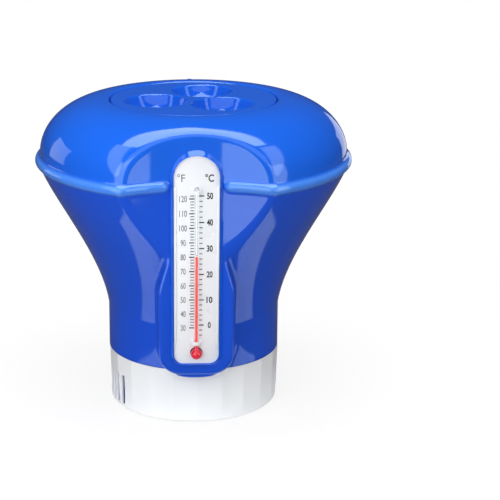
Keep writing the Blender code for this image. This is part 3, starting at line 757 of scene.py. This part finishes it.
def buildThermometer():
    place = panelPlace @ Matrix.Translation((0.0, tube["depth"], plate["bulbHeight"]))
    bore = tube["bore"]
    top = tube["top"] - plate["bulbHeight"]
    outside = bulbProfile(tube["bulb"], tube["stem"], top)
    column = bulbProfile(tube["bulb"] - tube["bulbWall"], bore, tube["column"])
    # the bore is open above the spirit, which wets the glass below
    empty = curve((0.0, tube["column"] + tube["boreGap"]), bore, bore, -90.0, 0.0, tube["boreSteps"])
    empty += curve((0.0, top - tube["boreEnd"]), bore, bore, 0.0, 90.0, tube["boreSteps"])
    empty[0], empty[-1] = (0.0, empty[0][1]), (0.0, empty[-1][1])
    glass = bmesh.new()
    lathe(glass, [(stay, outside)], wholeTurn(tube["steps"]))
    hollow = bmesh.new()
    lathe(hollow, [(stay, empty)], wholeTurn(tube["steps"]))
    bmesh.ops.reverse_faces(hollow, faces=hollow.faces)
    core = bpy.data.meshes.new("core")
    hollow.to_mesh(core)
    hollow.free()
    glass.from_mesh(core)
    bpy.data.meshes.remove(core)
    piece = finishPiece(
        "glassTube", glass, glassMaterial(), "body", ("glass_tube",), place,
        sharp=60.0, turnOut=False)
    piece.visible_shadow = False
    fill = bmesh.new()
    lathe(fill, [(stay, column)], wholeTurn(tube["steps"]))
    finishPiece(
        "spiritColumn", fill, spiritMaterial(), "body", ("spirit_fill",), place, sharp=60.0)


strap = {
    "half": 2.8, "wall": 0.6, "gap": 0.25, "lift": 0.02, "length": 1.8, "lowerRise": 5.8, "upperDrop": 1.6,
    "crownAngle": 16.0, "steps": 16,
}


def buildStrap(name, low, node):
    # a small bridge over the stem with its feet on the plate
    inner = tube["stem"] + strap["gap"]
    outer = inner + strap["wall"]
    foot = plate["front"] - strap["lift"]
    top = foot - strap["wall"]
    middle = (0.0, tube["depth"])
    crown = curve(middle, outer, outer, -strap["crownAngle"], strap["crownAngle"] - 180.0, strap["steps"])
    bore = curve(middle, inner, inner, -180.0, 0.0, strap["steps"])
    points = [(strap["half"], foot), (strap["half"], top)] + crown
    points += [(-strap["half"], top), (-strap["half"], foot), (-inner, foot)] + bore + [(inner, foot)]
    bm = bmesh.new()
    face = bm.faces.new([bm.verts.new((x, y, low)) for x, y in points])
    pullFaces(bm, [face], (0.0, 0.0, strap["length"]))
    finishPiece(name, bm, plateWhite, "body", (node,), panelPlace)


buildThermometer()
buildStrap("lowerTubeStrap", plate["bulbHeight"] + strap["lowerRise"], "lower_tube_strap")
buildStrap("upperTubeStrap", tube["top"] - strap["upperDrop"] - strap["length"], "upper_tube_strap")
print("thermometer made")


# lid

lid = {
    "radius": 46.4, "top": 175.2, "edge": 0.8, "flangeLow": 172.0, "wall": 1.8,
    "skirt": 38.8, "skirtWall": 2.0, "skirtLow": 159.1, "skirtEdge": 0.4,
    "lug": 40.5, "lugHeight": 2.5, "lugAngle": 20.0, "lugSteps": 10,
    "firstDimple": 76.0, "dimples": 3, "dimpleCircle": 21.8, "dimpleFloor": 0.5, "dimpleRim": 18.0,
    "dimpleShift": 3.0, "dimpleDepth": 11.8, "dimpleSteep": 4.5, "dimpleRound": 1.5,
    "steps": 320, "topRings": 120, "rimSteps": 6, "flangeRings": 12, "underRings": 44,
}
lidAngles = [math.radians(lid["firstDimple"] + 360.0 / lid["dimples"] * i) for i in range(lid["dimples"])]


def dimpleDip(x, y):
    # depth of the finger dimples, steep bowls that are deepest towards the middle of the lid
    dip = np.zeros(len(x))
    spread = lid["dimpleRim"] - lid["dimpleFloor"]
    shift = lid["dimpleShift"]
    for angle in lidAngles:
        out = x * math.cos(angle) + y * math.sin(angle) - lid["dimpleCircle"] + shift
        aside = y * math.cos(angle) - x * math.sin(angle)
        # share of the way from the floor's circle to the rim's, which lies further out
        beyond = out ** 2 + aside ** 2 - lid["dimpleFloor"] ** 2
        along = out * shift + lid["dimpleFloor"] * spread
        root = np.sqrt(np.maximum(along ** 2 + (spread ** 2 - shift ** 2) * beyond, 0.0))
        t = np.clip((root - along) / (spread ** 2 - shift ** 2), 0.0, 1.0)
        bowl = lid["dimpleDepth"] * (1 - t ** lid["dimpleSteep"])
        # the rim is rounded over
        dip = np.maximum(dip, bowl - lid["dimpleRound"] * (1 - np.exp(-bowl / lid["dimpleRound"])))
    return dip


def addLug(bm, angle):
    # a lug on the skirt, swept from its first side
    width = math.radians(lid["lugAngle"])
    turn = Matrix.Rotation(angle - width / 2, 3, "Z")
    low, high = lid["skirtLow"], lid["skirtLow"] + lid["lugHeight"]
    root = lid["skirt"] - lid["skirtWall"] / 2
    corners = [(root, low), (lid["lug"], low), (lid["lug"], high), (root, high)]
    face = bm.faces.new([bm.verts.new(turn @ Vector((radius, 0.0, z))) for radius, z in corners])
    bmesh.ops.spin(
        bm, geom=[face], cent=(0.0, 0.0, 0.0), axis=(0.0, 0.0, 1.0), angle=width,
        steps=lid["lugSteps"], use_merge=False)


def buildLid():
    bm = bmesh.new()
    edge = lid["skirtEdge"]
    low = lid["skirtLow"]
    outer, inner = lid["skirt"], lid["skirt"] - lid["skirtWall"]
    flat = lid["radius"] - lid["edge"]
    topFace = [(radius, lid["top"]) for radius in np.linspace(0.0, flat, lid["topRings"])]
    rim = curve((flat, lid["top"] - lid["edge"]), lid["edge"], lid["edge"], 90.0, 0.0, lid["rimSteps"])[1:]
    flange = [(radius, lid["flangeLow"]) for radius in np.linspace(lid["radius"], outer, lid["flangeRings"])]
    skirt = [(outer, low + edge), (outer - edge, low), (inner + edge, low), (inner, low + edge)]
    under = [(radius, lid["flangeLow"]) for radius in np.linspace(inner, 0.0, lid["underRings"])]
    parts = [(outerSkin, topFace), (stay, rim), (innerSkin, flange), (stay, skirt), (innerSkin, under)]
    mark = lathe(bm, parts, wholeTurn(lid["steps"]))
    points = np.array([vert.co for vert in bm.verts])
    dip = dimpleDip(points[:, 0], points[:, 1])
    for vert, depth in zip(bm.verts, dip):
        if vert[mark] == outerSkin:
            vert.co.z -= depth
        elif vert[mark] == innerSkin:
            vert.co.z = min(vert.co.z, lid["top"] - depth - lid["wall"])
    for angle in lidAngles:
        addLug(bm, angle)
    piece = finishPiece("twistLid", bm, litBlue, "lid", ("lid",))
    print("lid", len(piece.data.polygons), "faces")


seal = {
    "inner": 43.9, "outer": 46.4, "low": 170.5, "high": 171.7, "round": 0.35, "roundSteps": 4, "steps": 128,
}


def buildSeal():
    # flat washer with rounded corners
    bm = bmesh.new()
    radius = seal["round"]
    inner, outer = seal["inner"] + radius, seal["outer"] - radius
    low, high = seal["low"] + radius, seal["high"] - radius
    profile = []
    corners = (((outer, high), 90.0), ((outer, low), 0.0), ((inner, low), -90.0), ((inner, high), 180.0))
    for middle, first in corners:
        profile += curve(middle, radius, radius, first, first - 90.0, seal["roundSteps"])
    lathe(bm, [(stay, profile)], wholeTurn(seal["steps"]))
    finishPiece("lidSeal", bm, sealRubber, "lid_seal", ("lid_seal",))


gate = {
    "across": -1.0, "behind": 55.5, "low": 174.0, "high": 175.2, "radius": 1.5, "taper": 0.85, "steps": 32,
}


def buildGateMark():
    # the moulding's small round gate mark on the crest behind the lid
    bm = bmesh.new()
    place = Matrix.Translation((gate["across"], gate["behind"], (gate["low"] + gate["high"]) / 2))
    bmesh.ops.create_cone(
        bm, cap_ends=True, segments=gate["steps"], radius1=gate["radius"],
        radius2=gate["radius"] * gate["taper"], depth=gate["high"] - gate["low"], matrix=place)
    finishPiece("gateMark", bm, litBlue, "body")


buildLid()
buildSeal()
buildGateMark()


# turning ring

ring = {
    "facets": 22, "turn": 1.5, "lowRadius": 47.99, "topRadius": 48.99, "bore": 46.2, "low": 0.5, "high": 31.5,
    "foot": 0.9, "topEdge": 0.35, "facetLow": 2.5, "facetFull": 10.0,
    "columns": 16, "rows": 30, "footSteps": 6, "topSteps": 4,
    "slotWidth": 2.8, "slotLow": 2.5, "slotHigh": 20.0, "slotDepth": 8.0, "slotOut": 2.0,
    "slotCount": 7, "slotPitch": 6.75, "slotMiddles": (-78.25, 101.75),
    "reliefRadius": 47.05, "reliefLow": 1.5, "reliefHigh": 22.0, "reliefIn": 1.0, "reliefSteps": 176,
}


def ringSlots():
    slots = bmesh.new()
    low, high = ring["slotLow"], ring["slotHigh"]
    size = Matrix.Diagonal((ring["slotWidth"], ring["slotDepth"], high - low, 1.0))
    spot = Matrix.Translation((0.0, -ring["bore"] - ring["slotOut"], (low + high) / 2))
    for middle in ring["slotMiddles"]:
        for i in range(ring["slotCount"]):
            angle = middle + (i - (ring["slotCount"] - 1) / 2) * ring["slotPitch"]
            spin = Matrix.Rotation(math.radians(angle), 4, "Z")
            made = bmesh.ops.create_cube(slots, size=1.0)["verts"]
            bmesh.ops.transform(slots, matrix=spin @ spot @ size, verts=made)
    return slots


def ringRelief():
    # the wall is thinned from inside where the slots are
    relief = bmesh.new()
    inside, outside = ring["bore"] - ring["reliefIn"], ring["reliefRadius"]
    low, high = ring["reliefLow"], ring["reliefHigh"]
    corners = [(inside, low), (outside, low), (outside, high), (inside, high)]
    lathe(relief, [(stay, corners)], wholeTurn(ring["reliefSteps"]))
    return relief


def buildRing():
    bm = bmesh.new()
    footEdge, topEdge = ring["foot"], ring["topEdge"]
    taper = (ring["topRadius"] - ring["lowRadius"]) / (ring["high"] - ring["low"])
    levels = heights(ring["low"] + footEdge, ring["high"] - topEdge, ring["rows"])
    wall = [(ring["lowRadius"] + taper * (z - ring["low"]), z) for z in levels]
    foot = curve((wall[0][0] - footEdge, wall[0][1]), footEdge, footEdge, -90.0, 0.0, ring["footSteps"])[:-1]
    top = curve((wall[-1][0] - topEdge, wall[-1][1]), topEdge, topEdge, 0.0, 90.0, ring["topSteps"])[1:]
    bore = [(ring["bore"], ring["high"]), (ring["bore"], ring["low"])]
    first = math.radians(ring["turn"]) - math.pi / 2
    turn = wholeTurn(ring["facets"] * ring["columns"], first)
    mark = lathe(bm, [(outerSkin, foot + wall + top), (stay, bore)], turn)
    step = 2 * math.pi / ring["facets"]
    for vert in bm.verts:
        if vert[mark] == outerSkin:
            # flats between the corners, fading out towards the foot
            angle = (math.atan2(vert.co.y, vert.co.x) - first) % step - step / 2
            flat = math.cos(step / 2) / math.cos(angle)
            t = (vert.co.z - ring["facetLow"]) / (ring["facetFull"] - ring["facetLow"])
            t = smoothStep(min(max(t, 0.0), 1.0))
            size = flat * t + math.cos(step / 4) * (1 - t)
            vert.co.x *= size
            vert.co.y *= size
    bm = carve(bm, ringSlots())
    bm = carve(bm, ringRelief())
    piece = finishPiece("ventRing", bm, ringWhite, "vent_ring", ("vent_ring",), sharp=25.0)
    print("ring", len(piece.data.polygons), "faces")


buildRing()


# chamber and base keep their modelled shape, welded so that they shade smoothly

def smoothCopy(name, node):
    bm = bmesh.new()
    bm.from_mesh(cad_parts[node].data)
    bmesh.ops.remove_doubles(bm, verts=bm.verts, dist=mergeGap * mm)
    bmesh.ops.scale(bm, vec=(1 / mm, 1 / mm, 1 / mm), verts=bm.verts)
    finishPiece(name, bm, innerBlue, "body", (node,), sharp=35.0, turnOut=False)


smoothCopy("chamberTube", "chamber_tube")
smoothCopy("baseGrille", "base_grille")
print("chamber made")


# stage, with its lengths in metres; the cards are (across, along, width, depth)

stage = {
    "floorRadius": 8.0, "floorSteps": 96, "floor": "#525252", "floorDrop": 0.0002, "card": "#F4F4F4",
    "cards": ((-0.0875, -0.0786, 0.06, 0.06), (0.1, -0.0655, 0.06, 0.06)), "cardTurn": 4.0, "cardDisc": 0.074,
    "nearShare": 0.82, "nearRadius": 0.1, "farRadius": 0.5, "mirrorShare": 0.03,
    "white": "#FFFFFF", "roomStrength": 0.02,
}


def directRay(tree):
    # 1 for rays from the camera or through the glass
    ray = addNode(tree, "ShaderNodeLightPath")
    direct = addNode(tree, "ShaderNodeMath", {
        0: ray.outputs["Is Camera Ray"], 1: ray.outputs["Is Transmission Ray"]}, operation="MAXIMUM")
    return direct.outputs["Value"]


def mirroredRay(tree):
    # the share of the white background that reflections see
    ray = addNode(tree, "ShaderNodeLightPath")
    mirrored = addNode(tree, "ShaderNodeMath", {
        0: ray.outputs["Is Glossy Ray"], 1: stage["mirrorShare"]}, operation="MULTIPLY")
    return mirrored.outputs["Value"]


def stagePaper(name, colour):
    # matt paper that the camera and the glass see as white with the soft shadow, and reflections see in part
    material = bpy.data.materials.new(name)
    material.use_nodes = True
    tree = material.node_tree
    tree.nodes.clear()
    white = srgb(stage["white"])
    glow = addNode(tree, "ShaderNodeEmission", {"Color": white, "Strength": 1.0}).outputs["Emission"]
    shaded = addNode(tree, "ShaderNodeBsdfDiffuse", {"Color": white}).outputs["BSDF"]
    paper = addNode(tree, "ShaderNodeBsdfDiffuse", {"Color": srgb(colour)}).outputs["BSDF"]
    place = addNode(tree, "ShaderNodeTexCoord").outputs["Object"]
    away = addNode(tree, "ShaderNodeVectorMath", {"Vector": place}, operation="LENGTH")
    share = addNode(tree, "ShaderNodeMapRange", {
        "Value": away.outputs["Value"], "From Min": stage["nearRadius"], "From Max": stage["farRadius"],
        "To Min": stage["nearShare"], "To Max": 1.0})
    seen = addNode(tree, "ShaderNodeMixShader", {0: share.outputs["Result"], 1: shaded, 2: glow})
    lit = addNode(tree, "ShaderNodeMixShader", {0: mirroredRay(tree), 1: paper, 2: glow})
    mix = addNode(tree, "ShaderNodeMixShader", {
        0: directRay(tree), 1: lit.outputs["Shader"], 2: seen.outputs["Shader"]})
    addNode(tree, "ShaderNodeOutputMaterial", {"Surface": mix.outputs["Shader"]})
    return material


def addStage(name, bm, material):
    mesh = bpy.data.meshes.new(name)
    bm.to_mesh(mesh)
    bm.free()
    mesh.materials.append(material)
    sheet = bpy.data.objects.new(name, mesh)
    scene.collection.objects.link(sheet)


def buildStage():
    floor = bmesh.new()
    bmesh.ops.create_circle(floor, cap_ends=True, segments=stage["floorSteps"], radius=stage["floorRadius"])
    bmesh.ops.translate(floor, vec=(0.0, 0.0, -stage["floorDrop"]), verts=floor.verts)
    addStage("floor", floor, stagePaper("paleFloorPaper", stage["floor"]))
    # white cards in front and a disc below throw light back onto the underside
    cards = bmesh.new()
    turn = Matrix.Rotation(math.radians(stage["cardTurn"]), 3, "Z")
    for across, along, width, depth in stage["cards"]:
        made = bmesh.ops.create_grid(cards, x_segments=1, y_segments=1, size=0.5)["verts"]
        bmesh.ops.scale(cards, vec=(width, depth, 1.0), verts=made)
        bmesh.ops.rotate(cards, cent=(0.0, 0.0, 0.0), matrix=turn, verts=made)
        bmesh.ops.translate(cards, vec=(across, along, 0.0), verts=made)
    below = Matrix.Translation((0.0, 0.0, -stage["floorDrop"] / 2))
    bmesh.ops.create_circle(
        cards, cap_ends=True, segments=stage["floorSteps"], radius=stage["cardDisc"], matrix=below)
    addStage("frontCards", cards, stagePaper("whiteCard", stage["card"]))


def buildWorld():
    # a dim soft room, white where the camera or the glass looks past the floor, and in part in reflections
    world = bpy.data.worlds.new("softRoom")
    world.use_nodes = True
    tree = world.node_tree
    tree.nodes.clear()
    colour = srgb(stage["white"])
    seen = addNode(tree, "ShaderNodeMath", {0: directRay(tree), 1: mirroredRay(tree)}, operation="MAXIMUM")
    room = addNode(tree, "ShaderNodeBackground", {"Color": colour, "Strength": stage["roomStrength"]})
    white = addNode(tree, "ShaderNodeBackground", {"Color": colour, "Strength": 1.0})
    mix = addNode(tree, "ShaderNodeMixShader", {
        0: seen.outputs["Value"], 1: room.outputs["Background"], 2: white.outputs["Background"]})
    addNode(tree, "ShaderNodeOutputWorld", {"Surface": mix.outputs["Shader"]})
    scene.world = world


# softboxes: place, aim, (width, height) in metres, turn in degrees in their own plane, and brightness,
# where 1 shows as white; one that isn't mirrored stays out of reflections
softboxes = {
    "leftBox": {
        "at": (-0.114, -0.216, 0.13), "aim": (0.02, -0.067, 0.13), "size": (0.185, 0.26), "glow": 1.8},
    "rightBox": {
        "at": (0.222, -0.247, 0.13), "aim": (-0.02, -0.067, 0.13), "size": (0.22, 0.26), "glow": 1.6},
    "topBox": {
        "at": (0.0, -0.02, 1.1), "aim": (0.0, -0.02, 0.0), "size": (0.93, 0.93), "turn": 45.0, "glow": 3.6},
    "frontBox": {"at": (0.0, -1.0, 0.85), "aim": (0.0, 0.0, 0.14), "size": (2.0, 0.9), "glow": 0.85},
    "leftStrip": {
        "at": (-1.0, -0.45, 0.79), "aim": (0.0, -0.07, 0.15), "size": (0.24, 1.5),
        "turn": 26.0, "glow": 1.5},
    "rightStrip": {
        "at": (1.0, -0.45, 0.73), "aim": (0.0, -0.07, 0.15), "size": (0.24, 1.35),
        "turn": -24.0, "glow": 1.5},
    "backLeftBox": {"at": (-0.66, 0.336, 0.24), "aim": (0.0, 0.0, 0.14), "size": (0.3, 0.3), "glow": 1.0},
    "backRightBox": {"at": (0.4, 0.62, 0.12), "aim": (0.0, 0.0, 0.12), "size": (0.26, 0.24), "glow": 1.0},
    "lowFill": {
        "at": (-0.5, -0.8, 0.17), "aim": (0.0, 0.0, 0.1), "size": (0.7, 0.3),
        "glow": 1.85, "mirrored": False},
    "rearFill": {
        "at": (0.0, 1.4, 0.8), "aim": (0.0, 0.0, 0.1), "size": (1.8, 1.2),
        "glow": 1.15, "mirrored": False},
}


def addSoftboxes():
    for name, box in softboxes.items():
        width, height = box["size"]
        data = bpy.data.lights.new(name, "AREA")
        data.shape = "RECTANGLE"
        data.size, data.size_y = width, height
        data.energy = box["glow"] * math.pi * width * height
        lamp = bpy.data.objects.new(name, data)
        lamp.location = box["at"]
        aim = (Vector(box["aim"]) - Vector(box["at"])).to_track_quat("-Z", "Y").to_matrix()
        turn = Matrix.Rotation(math.radians(box.get("turn", 0.0)), 3, "Z")
        lamp.rotation_euler = (aim @ turn).to_euler()
        lamp.visible_camera = False
        lamp.visible_glossy = box.get("mirrored", True)
        scene.collection.objects.link(lamp)


buildStage()
buildWorld()
addSoftboxes()
scene.view_settings.view_transform = "Standard"
print("stage lit")
